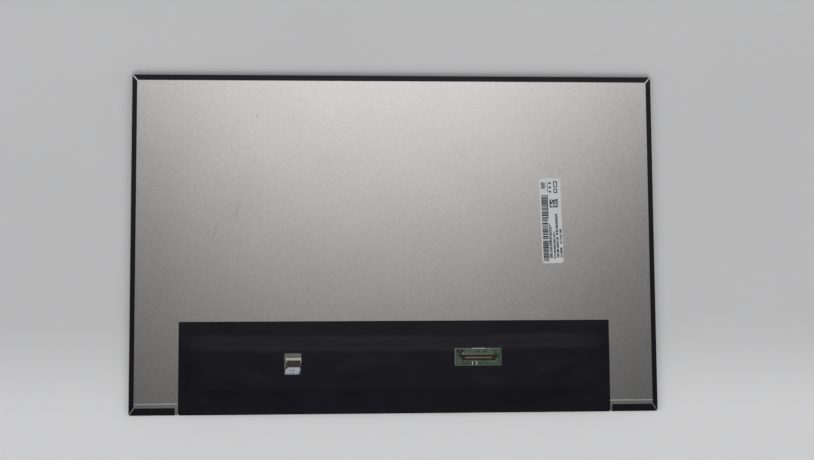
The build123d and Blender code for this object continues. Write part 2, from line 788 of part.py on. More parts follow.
def film_mound(grow):
    """Space under the raised part of the cover film, or with the film's thickness its outer form."""
    skirt = z_back - z_plate
    ramp_drop = film_ramp_run * skirt / (z_cavity - z_back)
    side_drop = film_side_ramp_run * skirt / (z_cavity - z_back)
    along = [(y_film_wall, z_plate), (y_film_wall, z_fold), (y_board_bottom, z_cavity),
             (y_ramp_top, z_cavity), (y_ramp_foot + ramp_drop, z_plate)]
    across = [(mound_left - side_drop, z_plate), (board_left, z_cavity),
              (board_right, z_cavity), (mound_right + side_drop, z_plate)]
    mound = prism_along_x(polygon(offset_path(along, grow)), (-half_width, half_width))
    mound &= prism_along_y(polygon(offset_path(across, grow)), (-half_height, half_height))
    return mound & block((-half_width, half_width), (-half_height, half_height), (z_back, z_cavity + grow))


def make_board_cover_film():
    """Black film: flat laps on the plate, a raised middle over the board, and a wrap round the bottom edge."""
    surface = [(y_film_top, z_back), (y_strip_top, z_back), (y_strip_top - strip_slope, z_strip),
               (y_strip_bottom + strip_slope, z_strip), (y_strip_bottom, z_back), (y_fold_edge, z_back)]
    raised = [(y, z + cover_film_thickness) for y, z in surface]
    film = prism_along_x(polygon(surface + raised[::-1]), (-film_half, film_half))
    film += film_mound(cover_film_thickness)
    z_lap = z_array - driver_film_thickness
    y_lap = y_film_wall + film_front_lap
    wrap = [(y_lap, z_lap), (y_film_wall, z_lap), (y_film_wall, z_back), (y_fold_edge, z_back)]
    film += prism_along_x(sharp_sheet(wrap, cover_film_thickness), wrap_span)
    film -= film_mound(0)
    film -= strip_pad(z_back)
    z_cut = (z_board_top, z_cavity + 2 * cover_film_thickness)
    signal_side = signal_half + signal_ear_length + signal_window_side
    signal_y = (y_signal_front - signal_window_below, y_signal_rear + signal_window_above)
    film -= block(around(signal_connector_x + signal_window_shift, signal_side), signal_y, z_cut)
    zif_y = (y_zif_front - zif_window_below, y_zif_rear + zif_window_above)
    return film - block(around(zif_x + zif_window_shift, zif_half + zif_window_side), zif_y, z_cut)


def make_label():
    """Narrow label with rounded corners, stuck to the plate a little askew."""
    outline = RectangleRounded(label_width, label_length, label_corner)
    place = Pos(half_width - label_right_gap, label_rise) * Rot(0, 0, label_turn)
    return prism_up(place * outline, (z_back, z_back + label_thickness))


def all_nodes():
    """Every node of the panel by name."""
    y_sheet_bottom = y_guide_bottom + sheet_setback
    nodes = {
        "front_polarizer": make_front_polarizer(),
        "colour_filter_glass": make_colour_filter_glass(),
        "array_glass": make_array_glass(),
        "rear_polarizer": make_rear_polarizer(),
        "rim_tape": make_rim_tape(),
        "mould_frame": make_mould_frame(),
        "upper_prism_sheet": optical_sheet(y_sheet_bottom, z_upper_prism, prism_sheet_thickness),
        "lower_prism_sheet": optical_sheet(y_sheet_bottom, z_lower_prism, prism_sheet_thickness),
        "diffuser_sheet": optical_sheet(y_sheet_bottom, z_diffuser, diffuser_thickness),
        "light_guide_plate": optical_sheet(y_guide_bottom, z_guide, light_guide_thickness),
        "reflector_sheet": optical_sheet(y_flex_top + sheet_clearance, z_reflector, reflector_thickness),
        "backlight_leds": make_backlight_leds(),
        "led_flex": make_led_flex(),
        "led_flex_tape": make_led_flex_tape(),
        "rear_plate": make_rear_plate(),
        "board_tape": make_board_tape(),
        "control_board": make_control_board(),
        "chip_capacitors": make_chip_capacitors(),
        "signal_connector_housing": make_signal_connector_housing(),
        "signal_connector_contacts": make_signal_connector_contacts(),
        "signal_connector_anchors": make_signal_connector_anchors(),
        "backlight_connector_housing": make_backlight_connector_housing(),
        "backlight_connector_contacts": make_backlight_connector_contacts(),
        "backlight_connector_anchors": make_backlight_connector_anchors(),
        "backlight_connector_lever": make_backlight_connector_lever(),
        "board_cover_film": make_board_cover_film(),
        "label": make_label(),
    }
    nodes.update(edge_tapes())
    for number, middle in enumerate(driver_middles(), start=1):
        nodes[f"driver_film_{number}"] = make_driver_film(middle)
        nodes[f"driver_chip_{number}"] = make_driver_chip(middle)
    for name, place in chip_places.items():
        nodes[name] = on_board(*place)
    for number, place in enumerate(inductor_places, start=1):
        nodes[f"power_inductor_{number}"] = make_inductor(*place)
    return nodes


os.makedirs("parts", exist_ok=True)
for node_name, node_shape in all_nodes().items():
    export_step(node_shape, f"parts/{node_name}.step")
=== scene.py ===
# %% [markdown]
# # The back of a laptop screen panel
#
# The panel lies on its screen with its back up, as it would lie on a bench. The CAD model gives every rigid
# piece its size and place. This lesson dresses that frame: it makes the finishes, the soft black film over the
# board, the print on the label and the board, and then sets the floor, the light and the camera.

# %% Load the fixed frame
import math
import random

import bmesh
import bpy
from mathutils import Matrix, Vector, noise


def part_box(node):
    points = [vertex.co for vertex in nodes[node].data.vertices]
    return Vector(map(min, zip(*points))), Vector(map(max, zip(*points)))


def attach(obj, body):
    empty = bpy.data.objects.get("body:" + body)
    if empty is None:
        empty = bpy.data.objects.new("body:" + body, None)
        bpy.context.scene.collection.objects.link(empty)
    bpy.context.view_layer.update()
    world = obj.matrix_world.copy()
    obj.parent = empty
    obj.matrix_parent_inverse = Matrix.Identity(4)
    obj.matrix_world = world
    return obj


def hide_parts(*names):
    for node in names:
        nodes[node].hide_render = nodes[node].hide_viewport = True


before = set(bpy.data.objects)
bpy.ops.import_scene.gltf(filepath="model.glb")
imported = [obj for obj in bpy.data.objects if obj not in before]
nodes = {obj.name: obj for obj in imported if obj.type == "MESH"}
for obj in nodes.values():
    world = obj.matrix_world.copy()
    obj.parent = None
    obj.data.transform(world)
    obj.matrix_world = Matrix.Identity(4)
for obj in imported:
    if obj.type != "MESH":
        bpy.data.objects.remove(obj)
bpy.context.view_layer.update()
MM = 0.001

# %% [markdown]
# ## Helpers for every finish
#
# Colours are easiest to read off a screen, so they are written as sRGB hex, but Blender shades in linear light.
# One function does that change for all of them. A second one adds a node: its own settings come first, then a
# value or another node's socket for each of its inputs. A function for each kind of node would hide how a finish
# is built. Three short ones start a material, turn millimetres into a texture's scale, and dress CAD nodes.

# %% Colour and node helpers
def linear(hex_colour):
    """sRGB hex as linear red, green, blue and alpha."""
    channels = [int(hex_colour[i:i + 2], 16) / 255 for i in (1, 3, 5)]
    return [c / 12.92 if c <= 0.04045 else ((c + 0.055) / 1.055) ** 2.4 for c in channels] + [1.0]


def add(tree, kind, settings, inputs):
    """A new node with its settings, and a value or a linked socket for each named or numbered input."""
    node = tree.nodes.new(kind)
    for name, value in settings.items():
        setattr(node, name, value)
    for name, value in inputs.items():
        if isinstance(value, bpy.types.NodeSocket):
            tree.links.new(value, node.inputs[name])
        else:
            node.inputs[name].default_value = value
    return node


def start_material(name):
    """An empty material with its tree, its surface shader and the position on the piece."""
    material = bpy.data.materials.new(name)
    material.use_nodes = True
    tree = material.node_tree
    shader = tree.nodes["Principled BSDF"]
    place = tree.nodes.new("ShaderNodeTexCoord").outputs["Object"]
    return material, tree, shader, place


def per_mm(size):
    """Texture scale that gives a pattern of this size in millimetres."""
    return 1 / (size * MM)


def dress(material, *names):
    """Gives CAD nodes a finish."""
    for name in names:
        nodes[name].data.materials.clear()
        nodes[name].data.materials.append(material)
    print(material.name, "on", len(names), "nodes")


print("mid grey in linear light:", round(linear("#808080")[0], 3))

# %% [markdown]
# ## The grained metal plate
#
# The back plate is thin steel sheet with an aluminium-zinc coating and a fine blasted grain. A brushed finish
# would need long stretched streaks, and a mirror would show the room. Blasting blurs what the plate mirrors, so a
# half-rough metal with a fine bump is right, and a faint mottling keeps it from looking like paint.

# %% Plate colour
# gives the eye a soft pale grey that fades with what it mirrors
plate_metal, tree, shader, place = start_material("blasted_coated_steel_sheet")
# the real grain is near 0.1 mm, so it is drawn coarser here to show in a picture of the whole panel
grain_mm, mottle_mm, cloud_mm = 0.35, 1.1, 38.0
rolling = (0.5, 0.8, 1.0)  # rolling draws the mottle out along x
rolled = add(tree, "ShaderNodeMapping", {}, {"Vector": place, "Scale": rolling})
mottle = add(tree, "ShaderNodeTexNoise", {},
             {"Vector": rolled.outputs[0], "Scale": per_mm(mottle_mm), "Detail": 3.0, "Roughness": 0.7})
cloud = add(tree, "ShaderNodeTexNoise", {}, {"Vector": place, "Scale": per_mm(cloud_mm), "Detail": 2.0})
grain = add(tree, "ShaderNodeTexNoise", {},
            {"Vector": place, "Scale": per_mm(grain_mm), "Detail": 2.0, "Roughness": 0.7})
tone = add(tree, "ShaderNodeMath", {"operation": "MULTIPLY_ADD"}, {0: cloud.outputs[0], 1: 0.2, 2: mottle.outputs[0]})
shade = add(tree, "ShaderNodeMapRange", {}, {"Value": tone.outputs[0], "From Min": 0.35, "From Max": 0.85})
metal = add(tree, "ShaderNodeMix", {"data_type": "RGBA"},
            {0: shade.outputs[0], 6: linear("#C2C0C1"), 7: linear("#D8D6D7")})
print("plate grain, mottle and clouds in mm:", grain_mm, mottle_mm, cloud_mm)

# %% [markdown]
# The used plate has two thin scratches, a few specks and a faint smear. An image could carry them, but each is
# only a soft ellipse. A Mapping node of type TEXTURE moves, turns and shrinks that ellipse to a unit circle, so a
# distance tells how far a point is inside it.

# %% Scratches and specks
# middle x and y, half length, half width in mm, turn in degrees, darkness
plate_marks = [
    (-105.15, 22.05, 9.4, 0.65, 75.9, 0.26),
    (-119.65, 9.0, 10.6, 0.60, 79.0, 0.21),
    (-92.3, 85.1, 0.95, 0.80, 0.0, 0.70),
    (-115.6, 77.8, 0.80, 0.70, 0.0, 0.42),
    (-122.4, 103.2, 0.60, 0.60, 0.0, 0.40),
    (92.3, 101.6, 0.60, 0.60, 0.0, 0.40),
    (-63.6, 96.3, 3.6, 1.5, 20.0, 0.08),
]


def add_marks(tree, place, marks):
    """Sum of soft ellipses: middle x and y, half length, half width in mm, turn in degrees, strength."""
    total = None
    for x, y, half_length, half_width, turn, strength in marks:
        unit = add(tree, "ShaderNodeMapping", {"vector_type": "TEXTURE"},
                   {"Vector": place, "Location": (x * MM, y * MM, 0), "Rotation": (0, 0, math.radians(turn)),
                    "Scale": (half_length * MM, half_width * MM, 1)})
        far = add(tree, "ShaderNodeVectorMath", {"operation": "LENGTH"}, {0: unit.outputs[0]})
        mark = add(tree, "ShaderNodeMapRange", {"interpolation_type": "SMOOTHSTEP"},
                   {"Value": far.outputs["Value"], "From Min": 1.0, "From Max": 0.2, "To Max": strength})
        if total:
            mark = add(tree, "ShaderNodeMath", {"operation": "ADD"}, {0: mark.outputs[0], 1: total})
        total = mark.outputs[0]
    return total


wear = add_marks(tree, place, plate_marks)
worn = add(tree, "ShaderNodeMix", {"data_type": "RGBA"}, {0: wear, 6: metal.outputs[2], 7: linear("#4A4846")})
print("plate marks:", len(plate_marks))

# %% Plate gloss and grain
grain_share, pit_depth = 0.3, 0.03
rough = add(tree, "ShaderNodeMapRange", {}, {"Value": mottle.outputs[0], "To Min": 0.28, "To Max": 0.35})
pitted = add(tree, "ShaderNodeMath", {"operation": "MULTIPLY_ADD"},
             {0: grain.outputs[0], 1: grain_share, 2: mottle.outputs[0]})
bump = add(tree, "ShaderNodeBump", {}, {"Height": pitted.outputs[0], "Strength": 0.5, "Distance": pit_depth * MM})
shader.inputs["Metallic"].default_value = 1.0
tree.links.new(worn.outputs[2], shader.inputs["Base Color"])
tree.links.new(rough.outputs[0], shader.inputs["Roughness"])
tree.links.new(bump.outputs[0], shader.inputs["Normal"])
dress(plate_metal, "rear_plate")

# %% [markdown]
# ## Black tape and black film
#
# The edge tapes and the board's cover are polyester film with a matt black coating. Both are dielectrics, so all
# that is seen of them is a weak reflection, a little blurred by the coating. A pure black would look cut out of
# the picture, so the colour is a very dark grey, and a fine emboss breaks the reflection up.

# %% Tape and film finishes
def coated_polyester(name, dark, light, wave_mm, wave_height, creases):
    """Matt black coating on polyester film: dark and light tone, size and height of its waves, creases."""
    material, tree, shader, place = start_material(name)
    emboss_mm, emboss_height = 0.3, 0.003  # coarser than the real emboss, so that it shows
    wave = add(tree, "ShaderNodeTexNoise", {}, {"Vector": place, "Scale": per_mm(wave_mm), "Detail": 1.0})
    emboss = add(tree, "ShaderNodeTexNoise", {}, {"Vector": place, "Scale": per_mm(emboss_mm), "Detail": 2.0})
    colour = add(tree, "ShaderNodeMix", {"data_type": "RGBA"},
                 {0: wave.outputs[0], 6: linear(dark), 7: linear(light)})
    rough = add(tree, "ShaderNodeMapRange", {}, {"Value": wave.outputs[0], "To Min": 0.34, "To Max": 0.44})
    relief = add(tree, "ShaderNodeMath", {"operation": "MULTIPLY_ADD"},
                 {0: wave.outputs[0], 1: wave_height, 2: add_marks(tree, place, creases)})
    fine = add(tree, "ShaderNodeMath", {"operation": "MULTIPLY_ADD"},
               {0: emboss.outputs[0], 1: emboss_height, 2: relief.outputs[0]})
    bump = add(tree, "ShaderNodeBump", {}, {"Height": fine.outputs[0], "Distance": MM})
    shader.inputs["Specular IOR Level"].default_value = 0.3
    shader.inputs["Specular Tint"].default_value = linear("#F2EEFD")
    tree.links.new(colour.outputs[2], shader.inputs["Base Color"])
    tree.links.new(rough.outputs[0], shader.inputs["Roughness"])
    tree.links.new(bump.outputs[0], shader.inputs["Normal"])
    return material


# %% Tape and film creases
# middle x and y, half length, half width in mm, turn in degrees, height in mm
tape_creases = [(-175.0, -95.0, 5.0, 1.5, 70.0, 0.05), (150.0, -111.0, 6.0, 1.2, 4.0, 0.04)]
film_creases = [
    (-131.6, -107.7, 13.0, 4.0, 24.0, 0.42),
    (132.2, -107.5, 12.5, 3.8, 157.0, 0.42),
    (64.7, -98.0, 27.0, 7.5, 156.0, 0.27),
    (-94.0, -92.0, 28.0, 8.0, 164.0, 0.15),
    (-26.0, -84.0, 30.0, 8.0, 12.0, 0.20),
    (104.0, -86.0, 22.0, 7.0, 20.0, 0.16),
]
# tape: gives the eye a flat black edge with a weak sheen; film: a deep blue-black whose sheen shows every bend
tape_polyester = coated_polyester("matt_black_polyester_tape", "#0D0D11", "#131318", 25.0, 0.15, tape_creases)
film_polyester = coated_polyester("matt_black_polyester_film", "#0F0E15", "#15141B", 24.0, 0.55, film_creases)
dress(tape_polyester, *[name for name in nodes if name.endswith("edge_tape")])
print("creases on the tapes and the film:", len(tape_creases), len(film_creases))

# %% [markdown]
# ## The cover film as a soft sheet
#
# The film lies flat on the plate, climbs over the board, slopes down to the bottom edge and wraps round it. The
# CAD solid has that form with hard creases. A real film bends in soft curves and sags a little between what it
# lies on, so a grid is draped over the same form. Cloth simulation would also do it, but the film is stiff and
# glued, and a height for each point of the grid gives the same result every time. Planes cut the grid along the
# windows first, so that their edges stay straight.

# %% Film form
film_end, board_end, film_start = -113.23, -97.0, -52.13
# heights in mm of the film's top along the panel and across it, as in the CAD solid
film_along = [(film_end, 3.51), (board_end, 4.43), (-71.4, 4.43), (-69.4, 4.12), (-66.0, 3.30), (-63.8, 2.83),
              (-61.8, 2.51), (film_start, 2.51)]
film_across = [(-143.2, 2.51), (-135.5, 3.45), (-128.0, 4.22), (-114.0, 4.43), (118.0, 4.43), (131.0, 4.22),
               (138.5, 3.4), (143.2, 2.51)]
lap_height, film_top = 2.51, 4.43
# rise of the film over the edge tape that it laps
strip_along = [(-112.3, 0.0), (-111.4, 0.0), (-110.9, 0.15), (-106.0, 0.15), (-105.5, 0.0), (film_start, 0.0)]
film_thickness = 0.1


def along_line(points, at):
    """Height of a line through points, at a place along it."""
    for (a, low), (b, high) in zip(points, points[1:]):
        if a <= at <= b:
            return low + (high - low) * (at - a) / (b - a)
    return points[0][1] if at < points[0][0] else points[-1][1]


def bent_line(points, at, bend):
    """The same line with its corners bent over a length, as film bends."""
    return sum(along_line(points, at + share * bend) for share in (-0.5, -0.25, 0, 0.25, 0.5)) / 5


print("film climbs in mm:", round(film_top - lap_height, 2))

# %% [markdown]
# The height at a point is the share that the film has climbed along the panel, times the share across it. Slow
# noise lets its fold wander and its span sag. Over the board's corners it stands up like a tent, so that no corner
# comes through.

# %% Film height
board_low, board_high = (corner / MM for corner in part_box("control_board"))
tent_lift, tent_slope = 0.14, 0.35
drift_from = -90.0  # the fold wanders only above this y, in mm
fold_bend, side_bend = 1.6, 8.0  # lengths over which the film bends, along the panel and across it
board_sag, free_sag, free_run = 0.05, 0.12, 4.0  # sag over the board, past its end, and how soon that is full
sag_fade, end_run = 0.4, 5.0  # the sag fades out this near to the lap and to the bottom edge


def film_height(x, y):
    """Height of the film's top in mm, at a place in mm."""
    drift = 0
    if y > drift_from:
        drift = 2.2 * noise.noise(Vector((x / 61, 3.7, 0))) + 0.8 * noise.noise(Vector((x / 19, 5.2, 0)))
    climb = film_top - lap_height
    along = (bent_line(film_along, y + drift, fold_bend) - lap_height) / climb
    across = (bent_line(film_across, x, side_bend) - lap_height) / climb
    lap = lap_height + along_line(strip_along, y)
    form = lap_height + climb * along * across
    broad, small = noise.noise(Vector((x / 27, y / 12, 1.3))), noise.noise(Vector((x / 8, y / 6, 8.1)))
    sag = board_sag + 0.04 * broad + 0.02 * small
    if y < board_end:
        sag += free_sag * min((board_end - y) / free_run, 1)
    form -= sag * min(max((form - lap) / sag_fade, 0), 1) * min((y - film_end) / end_run, 1)
    off_board = math.hypot(max(board_low.x - x, x - board_high.x, 0), max(board_low.y - y, y - board_high.y, 0))
    tent = board_high.z + film_thickness + tent_lift - tent_slope * off_board
    return max(form, tent, lap)


print("film over the board's middle in mm:", round(film_height(0, (board_low.y + board_high.y) / 2), 3))

# %% Cut a grid and finish a piece
same_place = 1e-7  # metres


def keep_outside(bm, x_span, y_span):
    """Cuts a rectangle out of a flat grid, in mm."""
    for axis, span in ((0, x_span), (1, y_span)):
        for place in span:
            point, normal = Vector((0, 0, 0)), Vector((0, 0, 0))
            point[axis], normal[axis] = place * MM, 1
            geometry = bm.verts[:] + bm.edges[:] + bm.faces[:]
            bmesh.ops.bisect_plane(bm, geom=geometry, plane_co=point, plane_no=normal, dist=same_place)
    inside = [f for f in bm.faces
              if x_span[0] < f.calc_center_median().x / MM < x_span[1]
              and y_span[0] < f.calc_center_median().y / MM < y_span[1]]
    bmesh.ops.delete(bm, geom=inside, context="FACES")


def finish_piece(bm, name, material, body="panel", sharp=30):
    """Turns a bmesh into a piece that rides on a body, smooth except at edges sharper than an angle."""
    mesh = bpy.data.meshes.new(name)
    bm.to_mesh(mesh)
    bm.free()
    mesh.materials.append(material)
    mesh.polygons.foreach_set("use_smooth", [True] * len(mesh.polygons))
    mesh.set_sharp_from_angle(angle=math.radians(sharp))
    piece = bpy.data.objects.new(name, mesh)
    bpy.context.scene.collection.objects.link(piece)
    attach(piece, body)
    print(name, "faces:", len(mesh.polygons))
    return piece


film_low, film_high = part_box("board_cover_film")
print("film's CAD box in mm:", [[round(c / MM, 2) for c in corner] for corner in (film_low, film_high)])

# %% Drape the film
signal_window = ((38.95, 70.35), (-82.2, -70.3))
flex_window = ((-73.8, -62.5), (-87.3, -73.0))
wrap_span, lap_end = (-142.6, 142.6), -112.3
film_step = 1.1 * MM
bm = bmesh.new()
film_size = film_high - film_low
middle = Matrix.Translation(((film_low.x + film_high.x) / 2, (film_low.y + film_high.y) / 2, 0))
bmesh.ops.create_grid(bm, x_segments=round(film_size.x / film_step), y_segments=round(film_size.y / film_step),
                      size=0.5, matrix=middle @ Matrix.Diagonal((film_size.x, film_size.y, 1, 1)))
keep_outside(bm, *signal_window)
keep_outside(bm, *flex_window)
for side in ((film_low.x / MM - 1, wrap_span[0]), (wrap_span[1], film_high.x / MM + 1)):
    keep_outside(bm, side, (film_low.y / MM - 1, lap_end))
for vert in bm.verts:
    vert.co.z = film_height(vert.co.x / MM, vert.co.y / MM) * MM
print("draped points:", len(bm.verts))

# %% [markdown]
# At the bottom edge the film goes down the side and a short way onto the front. Its edge there is drawn out twice,
# and then the whole sheet gets its thickness.

# %% Wrap the film round the edge
front_lap = 4.8
bottom = [e for e in bm.edges if all(abs(v.co.y - film_low.y) < same_place for v in e.verts)]
wall = bmesh.ops.extrude_edge_only(bm, edges=bottom)["geom"]
for vert in (g for g in wall if isinstance(g, bmesh.types.BMVert)):
    vert.co.z = film_low.z
fold = [g for g in wall if isinstance(g, bmesh.types.BMEdge)
        and all(abs(v.co.z - film_low.z) < same_place for v in g.verts)]
lap = bmesh.ops.extrude_edge_only(bm, edges=fold)["geom"]
bmesh.ops.translate(bm, verts=[g for g in lap if isinstance(g, bmesh.types.BMVert)], vec=(0, front_lap * MM, 0))
bmesh.ops.recalc_face_normals(bm, faces=bm.faces)
if sum(f.normal.z * f.calc_area() for f in bm.faces if f.calc_center_median().z > 2 * MM) < 0:
    bmesh.ops.reverse_faces(bm, faces=bm.faces)
bmesh.ops.solidify(bm, geom=bm.faces[:], thickness=film_thickness * MM)
cover_film = finish_piece(bm, "cover_film", film_polyester)
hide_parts("board_cover_film")
film_axes = list(zip(*[vertex.co for vertex in cover_film.data.vertices]))
print("film box in mm:", [[round(end(axis) / MM, 3) for axis in film_axes] for end in (min, max)])

# %% [markdown]
# ## The label and its print
#
# The label is coated white paper, laser printed. Its print is plain fields here: a stack of bars, a block of
# squares, rows of dashes, three dots and two open boxes. They could be drawn by a texture, but thin raised shapes
# stay sharp from any distance and are real in the mesh too, so each field is a thin block of toner.

# %% Label paper and toner
# gives the eye a cool white with a low sheen; the fibres are drawn coarser than they are
label_paper, tree, shader, place = start_material("coated_white_label_paper")
fibre = add(tree, "ShaderNodeTexNoise", {}, {"Vector": place, "Scale": per_mm(0.9), "Detail": 4.0})
colour = add(tree, "ShaderNodeMix", {"data_type": "RGBA"},
             {0: fibre.outputs[0], 6: linear("#C8C9CC"), 7: linear("#D5D6D9")})
bump = add(tree, "ShaderNodeBump", {}, {"Height": fibre.outputs[0], "Strength": 0.1, "Distance": 0.01 * MM})
shader.inputs["Roughness"].default_value = 0.45
tree.links.new(colour.outputs[2], shader.inputs["Base Color"])
tree.links.new(bump.outputs[0], shader.inputs["Normal"])
dress(label_paper, "label")

# gives the eye a soft charcoal rather than a hard black
toner, tree, shader, place = start_material("fused_black_toner")
speckle = add(tree, "ShaderNodeTexNoise", {}, {"Vector": place, "Scale": per_mm(0.5), "Detail": 3.0})
colour = add(tree, "ShaderNodeMix", {"data_type": "RGBA"},
             {0: speckle.outputs[0], 6: linear("#151518"), 7: linear("#303036")})
shader.inputs["Roughness"].default_value = 0.5
tree.links.new(colour.outputs[2], shader.inputs["Base Color"])

# %% Bars and squares on the label
def add_block(bm, low, high, place=Matrix()):
    """A closed block between two corners in mm, on a given place."""
    low, high = Vector(low) * MM, Vector(high) * MM
    size = Matrix.Diagonal((*(high - low), 1))
    bmesh.ops.create_cube(bm, size=1, matrix=place @ Matrix.Translation((low + high) / 2) @ size)


label_low, label_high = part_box("label")
label_middle = (label_low + label_high) / 2
label_turn = math.radians(1.5)
on_label = (Matrix.Translation((label_middle.x, label_middle.y, label_high.z)) @ Matrix.Rotation(label_turn, 4, "Z"))
ink = (0.0, 0.012)
dice = random.Random(16)
bm = bmesh.new()


def print_field(x_span, y_span):
    """A field of toner on the label, measured in mm from the label's middle."""
    add_block(bm, (x_span[0], y_span[0], ink[0]), (x_span[1], y_span[1], ink[1]), on_label)


bar_span, bar_y, bars_end = (-6.3, -2.4), 17.2, -27.4
while bar_y > bars_end:
    bar = dice.choice((0.35, 0.7, 0.7, 1.05))
    print_field(bar_span, (bar_y - bar, bar_y))
    bar_y -= bar + dice.choice((0.25, 0.3, 0.35, 0.6))
print_field((-2.35, -1.85), (1.5, 17.6))
cell, cells, block_x, block_y = 0.47, 12, -0.75, 14.5
for row in range(cells):
    for column in range(cells):
        if row == cells - 1 or column == 0 or dice.random() < 0.6:
            x, y = block_x + column * cell, block_y - row * cell
            print_field((x, x + cell), (y - cell, y))
print("faces of bars and squares:", len(bm.faces))

# %% Dashes, dots and boxes on the label
# rows of dashes along the label: left side, width, top and bottom in mm
dash_rows = [
    (-1.95, 0.90, -2.0, -25.8), (-0.95, 0.85, -4.0, -25.6), (0.85, 1.30, -7.6, -26.0), (2.70, 1.55, 4.4, -10.0),
    (2.85, 1.55, -11.2, -25.4), (5.20, 1.35, -6.0, -8.6), (5.30, 1.30, -9.4, -16.2), (5.25, 1.40, -18.4, -25.4),
    (-2.15, 0.55, 26.6, 19.6), (-6.0, 1.1, 26.2, 21.0), (-4.7, 1.2, 25.6, 21.6),
]
shortest, longest = 0.3, 0.9
for x, width, top, bottom in dash_rows:
    y = top
    while y > bottom + shortest:
        length = min(dice.uniform(shortest, longest), y - bottom)
        if dice.random() < 0.65:
            print_field((x, x + width), (y - length, y))
        else:
            print_field((x, x + width * 0.4), (y - length, y))
            print_field((x + width * 0.6, x + width), (y - length, y))
        y -= length + dice.choice((0.1, 0.12, 0.15, 0.4))
for y in (26.0, 23.1, 20.2):
    print_field((-0.85, 0.55), (y - 1.2, y))
line = 0.6
for x_low, x_high, y_low, y_high in ((2.3, 4.9, 22.4, 26.6), (2.3, 4.9, 18.7, 21.6)):
    print_field((x_low, x_low + line), (y_low, y_high))
    print_field((x_high - line, x_high), (y_low, y_high))
    print_field((x_low + line, x_high - line), (y_low, y_low + line))
    print_field((x_low + line, x_high - line), (y_high - line, y_high))
finish_piece(bm, "label_print", toner)

# %% [markdown]
# ## The circuit board seen through the windows
#
# The board is glass-fibre laminate under green solder mask. Mask over copper looks lighter than mask over bare
# laminate, so a pattern of fine tracks at the connectors' 0.5 mm pitch goes into its colour. The tinned copper
# ring that frames the wide window, the solder pads and the white printed lines are thin blocks on its face.

# %% Board finish
contact_pitch = 0.5
# gives the eye a satin green with a faint grid of lighter lines
board_mask, tree, shader, place = start_material("green_solder_mask_on_laminate")
# a wave texture repeats every pi / 10 of its own scale
tracks = add(tree, "ShaderNodeTexWave", {"bands_direction": "X"},
             {"Vector": place, "Scale": per_mm(contact_pitch) * math.pi / 10, "Distortion": 1.5, "Detail": 1.0})
pour = add(tree, "ShaderNodeTexNoise", {}, {"Vector": place, "Scale": per_mm(2.2), "Detail": 3.0, "Roughness": 0.7})
copper = add(tree, "ShaderNodeMapRange", {},
             {"Value": pour.outputs[0], "From Min": 0.35, "From Max": 0.65, "To Max": 0.8})
# the mask is greener towards the right of the wide window
side = add(tree, "ShaderNodeSeparateXYZ", {}, {0: place})
thick = add(tree, "ShaderNodeMapRange", {}, {"Value": side.outputs["X"], "From Min": 46 * MM, "From Max": 70 * MM})
mask = add(tree, "ShaderNodeMix", {"data_type": "RGBA"},
           {0: thick.outputs[0], 6: linear("#38473F"), 7: linear("#20461F")})
masked_copper = add(tree, "ShaderNodeMath", {"operation": "MULTIPLY"}, {0: copper.outputs[0], 1: tracks.outputs[1]})
colour = add(tree, "ShaderNodeMix", {"data_type": "RGBA"},
             {0: masked_copper.outputs[0], 6: mask.outputs[2], 7: linear("#74877A")})
weave = add(tree, "ShaderNodeTexNoise", {}, {"Vector": place, "Scale": per_mm(0.45), "Detail": 2.0})
relief = add(tree, "ShaderNodeMath", {"operation": "MULTIPLY_ADD"},
             {0: weave.outputs[0], 1: 0.3, 2: copper.outputs[0]})
bump = add(tree, "ShaderNodeBump", {}, {"Height": relief.outputs[0], "Strength": 0.3, "Distance": 0.03 * MM})
shader.inputs["Roughness"].default_value = 0.38
tree.links.new(colour.outputs[2], shader.inputs["Base Color"])
tree.links.new(bump.outputs[0], shader.inputs["Normal"])
dress(board_mask, "control_board")

# %% [markdown]
# Most of the small parts are either plated metal or plastic, and each kind differs only in tone, gloss and the
# size of its patches. So one function makes the metals and one the plastics.

# %% Metals and plastics
def soft_metal(name, dark, light, roughness, patch_mm):
    """Plated or tinned metal: dull and bright tone, gloss and the size of its patches."""
    material, tree, shader, place = start_material(name)
    patch = add(tree, "ShaderNodeTexNoise", {}, {"Vector": place, "Scale": per_mm(patch_mm), "Detail": 3.0})
    colour = add(tree, "ShaderNodeMix", {"data_type": "RGBA"},
                 {0: patch.outputs[0], 6: linear(dark), 7: linear(light)})
    rough = add(tree, "ShaderNodeMapRange", {},
                {"Value": patch.outputs[0], "To Min": roughness - 0.08, "To Max": roughness + 0.08})
    bump = add(tree, "ShaderNodeBump", {}, {"Height": patch.outputs[0], "Strength": 0.2, "Distance": 0.03 * MM})
    shader.inputs["Metallic"].default_value = 1.0
    tree.links.new(colour.outputs[2], shader.inputs["Base Color"])
    tree.links.new(rough.outputs[0], shader.inputs["Roughness"])
    tree.links.new(bump.outputs[0], shader.inputs["Normal"])
    return material


def moulded_plastic(name, dark, light, roughness, patch_mm):
    """Moulded or cast plastic: dark and light tone, gloss and the size of its flow marks."""
    material, tree, shader, place = start_material(name)
    flow = add(tree, "ShaderNodeTexNoise", {}, {"Vector": place, "Scale": per_mm(patch_mm), "Detail": 4.0})
    colour = add(tree, "ShaderNodeMix", {"data_type": "RGBA"},
                 {0: flow.outputs[0], 6: linear(dark), 7: linear(light)})
    bump = add(tree, "ShaderNodeBump", {}, {"Height": flow.outputs[0], "Strength": 0.15, "Distance": 0.02 * MM})
    shader.inputs["Roughness"].default_value = roughness
    tree.links.new(colour.outputs[2], shader.inputs["Base Color"])
    tree.links.new(bump.outputs[0], shader.inputs["Normal"])
    return material


# gives the eye bright, slightly blurred glints
tin = soft_metal("reflowed_tin_solder", "#B9B9B4", "#E2E2DE", 0.42, 0.8)
# gives the eye a pale grey without glints
dull_tin = soft_metal("hot_air_tinned_copper", "#9C9E96", "#D6D7D0", 0.6, 5.0)
